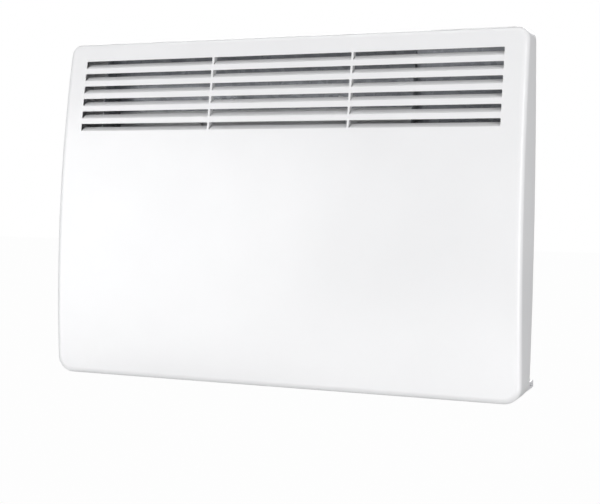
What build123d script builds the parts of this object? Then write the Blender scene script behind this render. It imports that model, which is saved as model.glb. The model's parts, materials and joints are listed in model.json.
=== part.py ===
from build123d import *
import math
import os

# Slim wall-mounted electric panel heater with a bowed sheet-steel front, as separate pieces.
# Millimetres, +Z up. The wall is the plane y = 0 and the heater faces -Y. The origin is the centre of the
# four wall fixing holes. Heights written as "height" count from the casing's underside.

# Casing form
case_width = 643.0  # at mid-height
case_height = 450.0
case_depth = 80.0  # rear edges to the foremost point of the bowed front
top_depth = 36.6  # depth at the very top, where the bow has fallen back
bow_apex_height = 84.0
side_draft = 1.94  # each side stands this much further out at the bottom than at mid-height
bottom_depth = 47.8  # rear edges to the foremost point of the front, at the bottom
tuck_drop = 84.0  # below the top, where the rear edges start to curve forward
edge_radius = 8.0
top_corner_radius = 15.0
bottom_corner_radius = 22.0
sheet = 1.0
lip_width = 14.0

# Place on the wall
wall_gap = 14.0
fixing_height = 200.0
fixing_spacing_x = 400.0
fixing_spacing_z = 200.0
fixing_hole_radius = 3.0

# Louvre grille
slot_count = 6
slot_pitch = 17.09
slot_height = 9.75
slot_top_drop = 24.05
slot_side_margin = 29.1
slot_corner = 1.2
bar_width = 2.5
flap_angle = 55.0
flap_length = 9.2
flap_end_gap = 0.6
flap_step = 0.15
rib_depth = 9.0
rib_overlap = 5.0

# General fits
spill = 5.0  # side views run this far past the front view that trims them
seat_gap = 0.05  # faces of fixed pieces that lie on each other
slip = 0.5  # loose clearance around a panel or a cover
run = 0.05  # radial clearance of a turning shaft

# Rear panel and its openings
panel_inset = 0.1
panel_screw_x = 160.0
panel_screw_heights = (112.0, 338.0)
vent_width = 4.0
vent_length = 26.0
vent_pitch = 11.0
vent_height = 72.0
vent_margin = 33.0

# Baffles and deflector
left_baffle_gap = 57.5  # from the casing's side
control_width = 145.5  # of the cool compartment at the right-hand end
baffle_front_inset = 11.0
baffle_low = 16.0
baffle_top_drop = 15.0
baffle_flange = 16.0
baffle_screw_heights = (90.0, 225.0, 360.0)
deflector_low_drop = 92.0
deflector_flange = 14.0
deflector_front_inset = 12.0
deflector_screw_pitch = 146.7

# Inlet grille in the underside
inlet_side_margin = 31.5
inlet_margin = 7.0
inlet_overlap = 4.0
inlet_slot_width = 5.0
inlet_slot_pitch = 10.0
inlet_slot_margin = 3.0

# Finned element
element_height = 150.0
element_arm_half_depth = 21.0
element_arm_half_height = 28.0
element_arm_thickness = 1.8
element_core_radius = 9.0
element_end_gap = 14.0
fin_pitch = 12.0
fin_gap = 2.0
rod_radius = 4.25
rod_overhang = 12.0
bush_radius = 9.0
bush_flange_radius = 12.0
bush_flange = 2.5
bush_nose = 2.5
terminal_radius = 1.5
terminal_length = 11.0
seal_length = 3.6
terminal_offset = 2.2

# Wall bracket
bracket_sheet = 2.0
strap_width = 30.0
upper_rail_height = 330.0
upper_rail_depth = 36.0
upper_rail_half = 250.0
hook_x = 150.0
hook_width = 30.0
hook_reach = 6.0
hook_tip = 12.0
lower_rail_low = 8.6
lower_rail_depth = 30.0
ear_inset = 2.5
ear_height = 8.8
ear_slot_length = 11.5
ear_slot_height = 3.8
ear_slot_back = 9.0
ear_corner = 2.4
bracket_corner = 2.4
upper_rail_rise = 27.0  # top of the upper rail above the hooks
rivet_radius = 2.0
rivet_head_radius = 4.0
rivet_head = 1.2
rivet_rounding = 0.6
rivet_spread = 9.0
rivet_rise = 9.0  # of the upper rivets above the hooks

# Quarter-turn locks
lock_x = 120.0
lock_height = 27.0
lock_tab_gap = 3.7
lock_tab_width = 30.0
lock_tab_drop = 16.0
lock_stem_radius = 4.0
lock_head_half = 11.0
lock_head_thickness = 3.0
lock_head_gap = 3.0
lock_lever_length = 34.0
lock_lever_width = 12.0
lock_lever_tail = 8.0
lock_lever_thickness = 5.0
lock_clip_radius = 6.5
lock_clip_thickness = 0.8
lock_groove_depth = 0.8

# Control tray in the top face
tray_offset = 72.0  # centre of the tray from the right-hand baffle
tray_length = 104.0
tray_wall = 1.2
tray_flange = 1.6
tray_flange_thickness = 0.8
tray_rear_gap = 5.0

# Thermostat
thermostat_offset = 28.0  # from the centre of the tray
thermostat_length = 32.0
thermostat_breadth = 22.0
thermostat_depth = 20.0
stem_bush_radius = 5.0
stem_bush_height = 3.4
shaft_radius = 3.0
shaft_cap = 2.4  # knob above the end of the shaft
knob_radius = 8.6
knob_height = 8.4
knob_side_gap = 0.45
knob_top_gap = 1.1
knob_mark_width = 1.2
knob_mark_depth = 0.6
knob_rib_count = 24
knob_rib_radius = 0.5
nut_radius = 7.5
nut_thickness = 2.0

# Rocker switch and pilot lamp
switch_offset = -24.0
switch_corner = 1.2
switch_length = 20.0
switch_breadth = 14.0
switch_frame_height = 2.0
switch_body_length = 18.6
switch_body_breadth = 12.6
switch_body_depth = 17.0
rocker_half = 7.4
rocker_breadth = 9.6
rocker_gap = 0.5
rocker_drop = 4.0
rocker_rise = 2.6
rocker_tilt = 9.0
rocker_pin_radius = 1.2
rocker_pin_length = 1.0
rocker_pivot_rise = 1.0
lamp_offset = -2.0
lamp_radius = 3.0
lamp_rim = 1.2
lamp_rise = 2.4
lamp_rounding = 1.6
lamp_seat = 4.0
lamp_body_depth = 12.0

# Supply
supply_offset = 86.0  # from the right-hand baffle
gland_height = 110.0
gland_radius = 8.0
gland_flange_radius = 12.0
gland_flange = 3.0
gland_nose = 9.0
gland_shoulder = 1.8
gland_inner = 13.0
gland_nut_radius = 12.0
gland_nut_thickness = 5.0
cable_bore_radius = 4.2
block_height = 168.0
block_length = 36.0
block_breadth = 18.0
block_depth = 14.0
block_ways = 3
block_ear = 8.0
block_ear_thickness = 2.0
block_screw_radius = 1.8
block_screw_length = 5.0
lead_radius = 1.3
lead_bend = 9.0
lead_rise = 36.0
port_gap = 0.2

# Cut-out and room sensor
cutout_height = 250.0
cutout_radius = 8.0
cutout_depth = 9.0
cutout_cap = 2.5  # how far its cap reaches into the warm chamber
cutout_flange_half = 16.0
cutout_flange = 1.5
cutout_tab_width = 3.6
cutout_tab_pitch = 8.0
sensor_side_gap = 21.5
sensor_rounding = 1.5
capillary_offset = 10.7
sensor_radius = 3.0
sensor_length = 60.0
sensor_height = 40.0
capillary_radius = 1.0

# Screws
screw_radius = 1.75
screw_length = 6.0
screw_head_radius = 3.6
screw_head = 2.0
screw_head_rounding = 1.0
screw_recess = 0.7
screw_edge = 7.0

# Values that follow from the ones above
case_bottom = -fixing_height
front_y = -(wall_gap + case_depth)
back_y = -wall_gap
bow_fall = case_depth - top_depth
bow_rise = case_height - bow_apex_height
bow_radius = (bow_rise**2 + bow_fall**2) / (2 * bow_fall)
bottom_tuck = case_depth - bottom_depth
tuck_height = case_height - tuck_drop
tuck_radius = (tuck_height**2 + bottom_tuck**2) / (2 * bottom_tuck)
lip_inset = panel_inset + sheet + seat_gap
through = 2 * (case_depth + wall_gap)
slot_span = case_width - 2 * slot_side_margin
left_baffle_x = left_baffle_gap - case_width / 2
right_baffle_x = case_width / 2 - control_width
chamber_middle = (left_baffle_x + right_baffle_x) / 2
inlet_half_width = case_width / 2 - inlet_side_margin
vent_count = int((right_baffle_x - left_baffle_x - 2 * vent_margin) / vent_pitch)
ear_x = case_width / 2 - ear_inset
tray_x = right_baffle_x + tray_offset
tray_width = 2 * (knob_radius + knob_side_gap + tray_wall) + slip
tray_depth = nut_thickness + slip + knob_height + knob_top_gap
thermostat_x = tray_x + thermostat_offset
switch_x = tray_x + switch_offset
lamp_x = tray_x + lamp_offset
supply_x = right_baffle_x + supply_offset
sensor_x = case_width / 2 - sensor_side_gap


def level(height):
    """Z of a height above the casing's underside."""
    return case_bottom + height


def half_width(height):
    """Half of the casing's width at a height."""
    return case_width / 2 + side_draft * (1 - 2 * height / case_height)


def front_skin_y(height, inset=0.0):
    """Y of the bowed front at a height, moved inwards by inset."""
    rise = height - bow_apex_height
    return front_y + bow_radius - math.sqrt((bow_radius - inset) ** 2 - rise**2)


def rear_edge_y(height, inset=0.0):
    """Y of the rear edges at a height, moved towards the front by inset."""
    drop = max(tuck_height - height, 0.0)
    return back_y - tuck_radius + math.sqrt((tuck_radius - inset) ** 2 - drop**2)


def rear_slope(height):
    """Angle in degrees by which the rear leans forward at a height."""
    return math.degrees(math.asin(max(tuck_height - height, 0.0) / tuck_radius))


def rear_path(inset, low, high):
    """The rear edge as a list of edges from height high down to height low."""
    bend = max(min(tuck_height, high), low)
    edges = []
    if high > bend:
        start = (rear_edge_y(high, inset), level(high))
        edges.append(("line", start, (rear_edge_y(bend, inset), level(bend))))
    if bend > low:
        middle = (bend + low) / 2
        start = (rear_edge_y(bend, inset), level(bend))
        via = (rear_edge_y(middle, inset), level(middle))
        edges.append(("arc", start, via, (rear_edge_y(low, inset), level(low))))
    return edges


def side_face(front_inset, rear_inset, low, high):
    """Side view of the space between the front skin and the rear edges."""
    middle = (low + high) / 2
    front_low = (front_skin_y(low, front_inset), level(low))
    front_middle = (front_skin_y(middle, front_inset), level(middle))
    front_high = (front_skin_y(high, front_inset), level(high))
    with BuildSketch(Plane.YZ) as face:
        with BuildLine():
            ThreePointArc(front_low, front_middle, front_high)
            Line(front_high, (rear_edge_y(high, rear_inset), level(high)))
            for kind, *points in rear_path(rear_inset, low, high):
                if kind == "line":
                    Line(*points)
                else:
                    ThreePointArc(*points)
            Line((rear_edge_y(low, rear_inset), level(low)), front_low)
        make_face()
    return face.sketch


def rear_band(inset, thickness, low, high):
    """Side view of a sheet that follows the rear edges."""
    with BuildSketch(Plane.YZ) as face:
        with BuildLine():
            for depth in (inset, inset + thickness):
                for kind, *points in rear_path(depth, low, high):
                    if kind == "line":
                        Line(*points)
                    else:
                        ThreePointArc(*points)
            for height in (low, high):
                start = (rear_edge_y(height, inset), level(height))
                Line(start, (rear_edge_y(height, inset + thickness), level(height)))
        make_face()
    return face.sketch


def elevation_face(inset):
    """Front view of the casing, a tapering panel with rounded corners, moved inwards by inset."""
    low = level(inset)
    high = level(case_height - inset)
    foot = half_width(0) - inset
    head = half_width(case_height) - inset
    with BuildSketch(Plane.XZ) as face:
        with BuildLine():
            Polyline((-foot, low), (foot, low), (head, high), (-head, high), close=True)
        make_face()
        fillet(face.vertices().group_by(Axis.Y)[0], bottom_corner_radius - inset)
        fillet(face.vertices().group_by(Axis.Y)[-1], top_corner_radius - inset)
    return face.sketch


def casing_form(inset, overrun):
    """The casing's form moved inwards by inset, and carried past the rear edges by overrun."""
    with BuildPart() as form:
        side = side_face(inset, -overrun, -spill, case_height + spill)
        extrude(side, amount=case_width, both=True)
        extrude(elevation_face(inset), amount=through, both=True, mode=Mode.INTERSECT)
        front = form.faces().sort_by(Axis.Y)[0]
        fillet(front.edges(), radius=edge_radius - inset)
    return form.part


def rear_layer(inset, margin, opening=None):
    """A sheet that follows the rear edges, with its outline margin inside the casing's."""
    with BuildPart() as layer:
        band = rear_band(inset, sheet, -spill, case_height + spill)
        extrude(band, amount=case_width, both=True)
        extrude(elevation_face(margin), amount=through, both=True, mode=Mode.INTERSECT)
        if opening is not None:
            extrude(elevation_face(opening), amount=through, both=True, mode=Mode.SUBTRACT)
    return layer.part


def rear_place(x, height, inset=0.0):
    """Location on a layer of the rear, with +Z pointing out of the back."""
    spot = (x, rear_edge_y(height, inset), level(height))
    return Location(spot, (-90 - rear_slope(height), 0, 0))


def inner_plane(x, height, depth):
    """Plane at a depth from the rear panel's outside, with +Z pointing into the casing."""
    lean = math.radians(rear_slope(height))
    inwards = Vector(0, -math.cos(lean), math.sin(lean))
    origin = Vector(x, rear_edge_y(height, panel_inset), level(height)) + inwards * depth
    return Plane(origin=origin, x_dir=(1, 0, 0), z_dir=inwards)


def save(solid, name):
    """Labels a finished piece and writes its file."""
    solid.label = name
    export_step(solid, f"parts/{name}.step")


def pan_screw():
    """A pan-head screw with a cross recess, its head's underside at the origin and its head up."""
    with BuildPart() as screw:
        Cylinder(screw_head_radius, screw_head, align=(Align.CENTER, Align.CENTER, Align.MIN))
        fillet(screw.edges().group_by(Axis.Z)[-1], radius=screw_head_rounding)
        Cylinder(screw_radius, screw_length, align=(Align.CENTER, Align.CENTER, Align.MAX))
        with Locations((0, 0, screw_head)):
            Box(screw_head_radius, screw_recess, screw_head, mode=Mode.SUBTRACT)
            Box(screw_recess, screw_head_radius, screw_head, mode=Mode.SUBTRACT)
    return screw.part


def rivet(grip):
    """A rivet that holds grip millimetres of sheet, its head's underside at the origin and its head up."""
    with BuildPart() as pin:
        Cylinder(rivet_head_radius, rivet_head, align=(Align.CENTER, Align.CENTER, Align.MIN))
        fillet(pin.edges().group_by(Axis.Z)[-1], radius=rivet_rounding)
        Cylinder(rivet_radius, grip, align=(Align.CENTER, Align.CENTER, Align.MAX))
    return pin.part


def slot_low(row):
    """Height of the lower lip of a louvre slot, counted from the top row."""
    return case_height - slot_top_drop - row * slot_pitch - slot_height


def segment_centres():
    """X centres of the three lengths of a slot."""
    step = slot_span / 3
    return [-step, 0.0, step]


def flap_face(row):
    """Side view of the flap that is folded in from the lower lip of a slot."""
    low = slot_low(row)
    lean = math.radians(flap_angle)
    along = Vector(math.sin(lean), math.cos(lean))
    across = Vector(math.cos(lean), -math.sin(lean))
    root = Vector(front_skin_y(low) + flap_step, level(low))
    tip = root + along * flap_length
    with BuildSketch(Plane.YZ) as face:
        with BuildLine():
            Polyline(root, tip, tip + across * sheet, root + across * sheet, close=True)
        make_face()
    return face.sketch


def panel_screw_places():
    """Places of the screws that hold the rear panel to the casing's lip."""
    places = []
    for height in (screw_edge, case_height - screw_edge):
        for x in (-panel_screw_x, panel_screw_x):
            places.append(rear_place(x, height, panel_inset))
    for height in panel_screw_heights:
        for side in (-1, 1):
            x = side * (half_width(height) - screw_edge)
            places.append(rear_place(x, height, panel_inset))
    return places


def baffle_screw_places():
    """Places of the screws that hold the baffles' flanges to the rear panel."""
    places = []
    for x in (left_baffle_x - baffle_flange / 2, right_baffle_x + baffle_flange / 2):
        for height in baffle_screw_heights:
            places.append(rear_place(x, height, panel_inset))
    return places


def bracket_rivet_places():
    """Places of the rivets that hold the bracket's straps to its rails."""
    places = []
    for x in (-fixing_spacing_x / 2, fixing_spacing_x / 2):
        for height in (upper_rail_height + rivet_rise, lower_rail_low + lower_rail_depth / 2):
            for step in (-rivet_spread, rivet_spread):
                places.append(Location((x + step, -2 * bracket_sheet, level(height)), (90, 0, 0)))
    return places


def lead(points, radius):
    """A round wire along straight runs with rounded turns."""
    with BuildPart() as wire:
        with BuildLine() as path:
            FilletPolyline(*points, radius=lead_bend)
        with BuildSketch(Plane(origin=path.line @ 0, z_dir=path.line % 0)):
            Circle(radius)
        sweep()
    return wire.part


def deflector_screw_places():
    """Places of the screws that hold the deflector's flange to the rear panel."""
    height = case_height - deflector_low_drop + deflector_flange / 2
    spots = [chamber_middle + step * deflector_screw_pitch for step in (-1, 0, 1)]
    return [rear_place(x, height, panel_inset) for x in spots]


def block_screw_places():
    """Places of the screws that hold the terminal block's ears to the rear panel."""
    seat = inner_plane(supply_x, block_height, sheet + 2 * seat_gap + block_ear_thickness)
    reach = (block_length + block_ear) / 2
    return [seat.location * Location((side * reach, 0, 0)) for side in (-1, 1)]


os.makedirs("parts", exist_ok=True)

# Front casing: one pressed shell with its louvres, open at the back behind a narrow lip
outer_form = casing_form(0, 0)
inner_form = casing_form(sheet, sheet)
rear_lip = rear_layer(lip_inset, sheet / 2, lip_width)
tray_y = back_y - tray_rear_gap - tray_width / 2
inlet_front_y = front_skin_y(0) + edge_radius + inlet_margin
inlet_rear_y = rear_edge_y(0) - inlet_margin - sheet
inlet_centre_y = (inlet_front_y + inlet_rear_y) / 2
inlet_breadth = inlet_rear_y - inlet_front_y

with BuildPart() as front_casing:
    add(outer_form)
    add(inner_form, mode=Mode.SUBTRACT)
    add(rear_lip)
    with BuildSketch(Plane.XZ.offset(-front_y + edge_radius)):
        for row in range(slot_count):
            with Locations((0, level(slot_low(row) + slot_height / 2))):
                with GridLocations(slot_span / 3, 0, 3, 1):
                    RectangleRounded(slot_span / 3 - bar_width, slot_height, slot_corner)
    extrude(amount=-(bow_fall + 2 * edge_radius), mode=Mode.SUBTRACT)
    for row in range(slot_count):
        for centre in segment_centres():
            flap = Location((centre, 0, 0)) * flap_face(row)
            extrude(flap, amount=slot_span / 6 - bar_width / 2 - flap_end_gap, both=True)
    with Locations((tray_x, tray_y, level(case_height))):
        Box(tray_length, tray_width, 4 * sheet, mode=Mode.SUBTRACT)
    with Locations((0, inlet_centre_y, level(0))):
        Box(2 * inlet_half_width, inlet_breadth, 4 * sheet, mode=Mode.SUBTRACT)
    with Locations(*panel_screw_places()):
        Cylinder(screw_radius + run, 4 * screw_length, mode=Mode.SUBTRACT)
save(front_casing.part, "front_casing")

# Ribs welded behind the bars of the grille
rib_top = case_height - slot_top_drop + rib_overlap
rib_low = slot_low(slot_count - 1) - rib_overlap
with BuildSketch(Plane.YZ) as rib_face:
    with BuildLine():
        low_y = front_skin_y(rib_low, sheet + seat_gap)
        middle_y = front_skin_y((rib_low + rib_top) / 2, sheet + seat_gap)
        top_y = front_skin_y(rib_top, sheet + seat_gap)
        middle_z = level((rib_low + rib_top) / 2)
        ThreePointArc((low_y, level(rib_low)), (middle_y, middle_z), (top_y, level(rib_top)))
        Line((top_y, level(rib_top)), (top_y + rib_depth, level(rib_top)))
        Line((top_y + rib_depth, level(rib_top)), (low_y + rib_depth, level(rib_low)))
        Line((low_y + rib_depth, level(rib_low)), (low_y, level(rib_low)))
    make_face()
for side, name in ((-1, "grille_rib_left"), (1, "grille_rib_right")):
    with BuildPart() as grille_rib:
        face = Location((side * slot_span / 6, 0, 0)) * rib_face.sketch
        extrude(face, amount=sheet / 2, both=True)
    save(grille_rib.part, name)

# Rear panel, seated on the lip between the casing's sides
hook_z = level(upper_rail_height)
with BuildPart() as rear_panel:
    add(rear_layer(panel_inset, sheet + slip))
    for x in (-hook_x, hook_x):
        with Locations((x, back_y, hook_z - hook_tip / 2)):
            Box(hook_width + 2 * slip, 4 * hook_reach, hook_tip + bracket_sheet, mode=Mode.SUBTRACT)
    for x in (-lock_x, lock_x):
        with Locations((x, rear_edge_y(lock_height), level(lock_height))):
            slot_side = 2 * (lock_stem_radius + slip)
            Box(slot_side, 4 * slot_side, 2 * (lock_head_half + slip), mode=Mode.SUBTRACT)
    with Locations(rear_place(chamber_middle, vent_height, panel_inset)):
        with GridLocations(vent_pitch, 0, vent_count, 1):
            Box(vent_width, vent_length, 4 * sheet, mode=Mode.SUBTRACT)
    with Locations(*panel_screw_places(), *baffle_screw_places(), *deflector_screw_places()):
        Cylinder(screw_radius + run, 4 * screw_length, mode=Mode.SUBTRACT)
    with Locations(*block_screw_places()):
        Cylinder(screw_radius + run, 4 * screw_length, mode=Mode.SUBTRACT)
    with Locations(rear_place(supply_x, gland_height, panel_inset)):
        Cylinder(gland_radius + run, 4 * screw_length, mode=Mode.SUBTRACT)
save(rear_panel.part, "rear_panel")

for name, places in (
    ("panel_screws", panel_screw_places()),
    ("baffle_screws", baffle_screw_places()),
    ("deflector_screws", deflector_screw_places()),
    ("block_screws", block_screw_places()),
):
    with BuildPart() as screws:
        with Locations(*places):
            add(pan_screw())
    save(screws.part, name)

# Baffles that wall off the warm chamber, each with a flange on the rear panel
element_front = front_skin_y(element_height, sheet)
element_rear = rear_edge_y(element_height, lip_inset)
element_y = (element_front + element_rear) / 2
element_z = level(element_height)
baffle_top = case_height - baffle_top_drop
for x, side, name in ((left_baffle_x, -1, "left_baffle"), (right_baffle_x, 1, "right_baffle")):
    with BuildPart() as baffle:
        wall = side_face(baffle_front_inset, lip_inset, baffle_low, baffle_top)
        extrude(Location((x, 0, 0)) * wall, amount=side * sheet)
        fold = rear_band(lip_inset, sheet, baffle_low, baffle_top)
        extrude(Location((x, 0, 0)) * fold, amount=side * baffle_flange)
        with Locations(Location((x, element_y, element_z), (0, 90, 0))):
            Cylinder(bush_radius + run, 4 * sheet, mode=Mode.SUBTRACT)
        with Locations(*baffle_screw_places()):
            Cylinder(screw_radius + run, 4 * screw_length, mode=Mode.SUBTRACT)
        if x == right_baffle_x:
            cutout_y = (front_skin_y(cutout_height) + rear_edge_y(cutout_height)) / 2
            with Locations(Location((x, cutout_y, level(cutout_height)), (0, 90, 0))):
                Cylinder(cutout_radius + run, 4 * sheet, mode=Mode.SUBTRACT)
                for step in (-1, 1):
                    with Locations((step * (cutout_flange_half - screw_head_radius), 0)):
                        Cylinder(screw_radius + run, 4 * sheet, mode=Mode.SUBTRACT)
    save(baffle.part, name)

# Curved deflector that turns the warm air forward to the louvres
turn_low = case_height - deflector_low_drop + deflector_flange
turn_high = case_height - baffle_top_drop
turn_y = rear_edge_y(turn_low, lip_inset)
turn_run = turn_y - front_skin_y(turn_high, deflector_front_inset)
turn_rise = turn_high - turn_low
turn_radius = (turn_run**2 + turn_rise**2) / (2 * turn_run)
turn_centre_y = turn_y - turn_radius
turn_sweep = math.asin(turn_rise / turn_radius)
if turn_run > turn_radius:
    turn_sweep = math.pi - turn_sweep


def turn_point(radius, angle):
    """A point on an arc about the deflector's centre of curvature."""
    return (turn_centre_y + radius * math.cos(angle), level(turn_low) + radius * math.sin(angle))


with BuildPart() as air_deflector:
    with BuildSketch(Plane.YZ.offset(left_baffle_x + slip)):
        with BuildLine():
            inner = turn_radius - sheet
            foot = level(turn_low - deflector_flange)
            ends = (turn_point(turn_radius, 0), turn_point(turn_radius, turn_sweep))
            inner_ends = (turn_point(inner, 0), turn_point(inner, turn_sweep))
            ThreePointArc(ends[0], turn_point(turn_radius, turn_sweep / 2), ends[1])
            Line(ends[1], inner_ends[1])
            ThreePointArc(inner_ends[1], turn_point(inner, turn_sweep / 2), inner_ends[0])
            Polyline(inner_ends[0], (inner_ends[0][0], foot), (ends[0][0], foot), ends[0])
        make_face()
    extrude(amount=right_baffle_x - left_baffle_x - 2 * slip)
    with Locations(*deflector_screw_places()):
        Cylinder(screw_radius + run, 4 * screw_length, mode=Mode.SUBTRACT)
save(air_deflector.part, "air_deflector")

# Inlet grille on the inside of the underside
with BuildPart() as inlet_grille:
    with BuildSketch(Plane.XY.offset(level(sheet + seat_gap))):
        with Locations((0, inlet_centre_y)):
            grille_length = 2 * (inlet_half_width + inlet_overlap)
            Rectangle(grille_length, inlet_breadth + 2 * inlet_overlap)
            count = int((2 * inlet_half_width - inlet_slot_pitch) / inlet_slot_pitch)
            slot_length = inlet_breadth - 2 * inlet_slot_margin
            with GridLocations(inlet_slot_pitch, 0, count, 1):
                SlotOverall(slot_length, inlet_slot_width, rotation=90, mode=Mode.SUBTRACT)
    extrude(amount=sheet)
save(inlet_grille.part, "inlet_grille")

# Finned aluminium element on a sheathed rod that runs through both baffles
element_left = left_baffle_x + element_end_gap
element_right = right_baffle_x - element_end_gap
element_length = element_right - element_left
with BuildPart() as element_fins:
    arm = math.hypot(element_arm_half_depth, element_arm_half_height)
    arm_angle = math.degrees(math.atan2(element_arm_half_height, element_arm_half_depth))
    with BuildSketch(Plane.YZ.offset(element_left)):
        with Locations((element_y, element_z)):
            Circle(element_core_radius)
            for angle in (arm_angle, -arm_angle):
                Rectangle(2 * arm, element_arm_thickness, rotation=angle)
            Circle(rod_radius + run, mode=Mode.SUBTRACT)
    extrude(amount=element_length)
    fin_count = int(element_length / fin_pitch) - 1
    with BuildSketch(Plane.XZ.offset(-element_y)) as gap_face:
        with GridLocations(fin_pitch, 0, fin_count, 1):
            with Locations((element_left + element_length / 2, element_z)):
                Rectangle(fin_gap, 2 * element_arm_half_height)
            with Locations((element_left + element_length / 2, element_z)):
                Rectangle(fin_gap, 2 * element_core_radius + fin_gap, mode=Mode.SUBTRACT)
    extrude(amount=element_arm_half_depth + element_arm_thickness, both=True, mode=Mode.SUBTRACT)
save(element_fins.part, "element_fins")

rod_left = left_baffle_x - rod_overhang
rod_right = right_baffle_x + rod_overhang
axis_x = (0, 90, 0)
with BuildPart() as element_rod:
    with Locations(Location((rod_left, element_y, element_z), axis_x)):
        Cylinder(rod_radius, rod_right - rod_left, align=(Align.CENTER, Align.CENTER, Align.MIN))
save(element_rod.part, "element_rod")

for x, side, name in ((left_baffle_x, -1, "element_bush_left"), (right_baffle_x, 1, "element_bush_right")):
    with BuildPart() as element_bush:
        with Locations(Location((x + side * sheet / 2, element_y, element_z), axis_x)):
            Cylinder(bush_radius, sheet + 2 * bush_nose)
        with Locations(Location((x + side * (sheet + bush_flange / 2), element_y, element_z), axis_x)):
            Cylinder(bush_flange_radius, bush_flange)
        with Locations(Location((x, element_y, element_z), axis_x)):
            Cylinder(rod_radius + run, 4 * (sheet + bush_flange), mode=Mode.SUBTRACT)
    save(element_bush.part, name)

with BuildPart() as element_seal:
    with Locations(Location((rod_right, element_y, element_z), axis_x)):
        Cylinder(rod_radius, seal_length, align=(Align.CENTER, Align.CENTER, Align.MIN))
        with Locations((terminal_offset, 0), (-terminal_offset, 0)):
            Cylinder(terminal_radius + run, 4 * seal_length, mode=Mode.SUBTRACT)
save(element_seal.part, "element_seal")

with BuildPart() as element_terminals:
    with Locations(Location((rod_right, element_y, element_z), axis_x)):
        with Locations((terminal_offset, 0), (-terminal_offset, 0)):
            Cylinder(terminal_radius, terminal_length, align=(Align.CENTER, Align.CENTER, Align.MIN))
save(element_terminals.part, "element_terminals")

# Thermal cut-out, seated in the right baffle with its cap in the warm chamber
cutout_z = level(cutout_height)
cutout_hole = cutout_flange_half - screw_head_radius
with BuildPart() as thermal_cutout:
    with Locations(Location((right_baffle_x - cutout_cap, cutout_y, cutout_z), axis_x)):
        cap_length = cutout_cap + sheet + cutout_depth
        Cylinder(cutout_radius, cap_length, align=(Align.CENTER, Align.CENTER, Align.MIN))
    with Locations((right_baffle_x + sheet + seat_gap + cutout_flange / 2, cutout_y, cutout_z)):
        Box(cutout_flange, 2 * cutout_radius, 2 * (cutout_flange_half + screw_edge / 2))
    tab_x = right_baffle_x + sheet + cutout_depth + terminal_length / 2
    for step in (-1, 1):
        with Locations((tab_x, cutout_y, cutout_z + step * cutout_tab_pitch / 2)):
            Box(terminal_length, cutout_tab_width, sheet)
    with Locations(Location((right_baffle_x, cutout_y, cutout_z), axis_x)):
        with Locations((cutout_hole, 0), (-cutout_hole, 0)):
            Cylinder(screw_radius + run, 4 * cutout_flange, mode=Mode.SUBTRACT)
save(thermal_cutout.part, "thermal_cutout")

with BuildPart() as cutout_screws:
    head_x = right_baffle_x + sheet + 2 * seat_gap + cutout_flange
    with Locations(Location((head_x, cutout_y, cutout_z), axis_x)):
        with Locations((cutout_hole, 0), (-cutout_hole, 0)):
            add(pan_screw())
save(cutout_screws.part, "cutout_screws")

# Wall bracket: two straps on the wall, and two rails riveted across them
strap_low = lower_rail_low
strap_high = upper_rail_height + upper_rail_rise
for side, name in ((-1, "bracket_strap_left"), (1, "bracket_strap_right")):
    with BuildPart() as bracket_strap:
        strap_x = side * fixing_spacing_x / 2
        with Locations((strap_x, -bracket_sheet / 2, level((strap_low + strap_high) / 2))):
            Box(strap_width, bracket_sheet, strap_high - strap_low)
        fillet(bracket_strap.edges().filter_by(Axis.Y), radius=bracket_corner)
        with Locations(Location((strap_x, 0, 0), (90, 0, 0))):
            with GridLocations(0, fixing_spacing_z, 1, 2):
                Cylinder(fixing_hole_radius, 4 * bracket_sheet, mode=Mode.SUBTRACT)
        with Locations(*bracket_rivet_places()):
            Cylinder(rivet_radius + run, 8 * bracket_sheet, mode=Mode.SUBTRACT)
    save(bracket_strap.part, name)

rail_y = -1.5 * bracket_sheet
with BuildPart() as bracket_upper_rail:
    with Locations((0, rail_y, hook_z + upper_rail_rise)):
        rail_align = (Align.CENTER, Align.CENTER, Align.MAX)
        Box(2 * upper_rail_half, bracket_sheet, upper_rail_depth, align=rail_align)
    fillet(bracket_upper_rail.edges().filter_by(Axis.Y), radius=bracket_corner)
    for x in (-hook_x, hook_x):
        tongue = wall_gap + hook_reach - bracket_sheet
        with Locations((x, -bracket_sheet, hook_z)):
            Box(hook_width, tongue, bracket_sheet, align=(Align.CENTER, Align.MAX, Align.CENTER))
        with Locations((x, -bracket_sheet - tongue, hook_z - bracket_sheet / 2)):
            tip_height = hook_tip + bracket_sheet
            Box(hook_width, bracket_sheet, tip_height, align=(Align.CENTER, Align.MIN, Align.MIN))
    with Locations(*bracket_rivet_places()):
        Cylinder(rivet_radius + run, 8 * bracket_sheet, mode=Mode.SUBTRACT)
save(bracket_upper_rail.part, "bracket_upper_rail")

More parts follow.
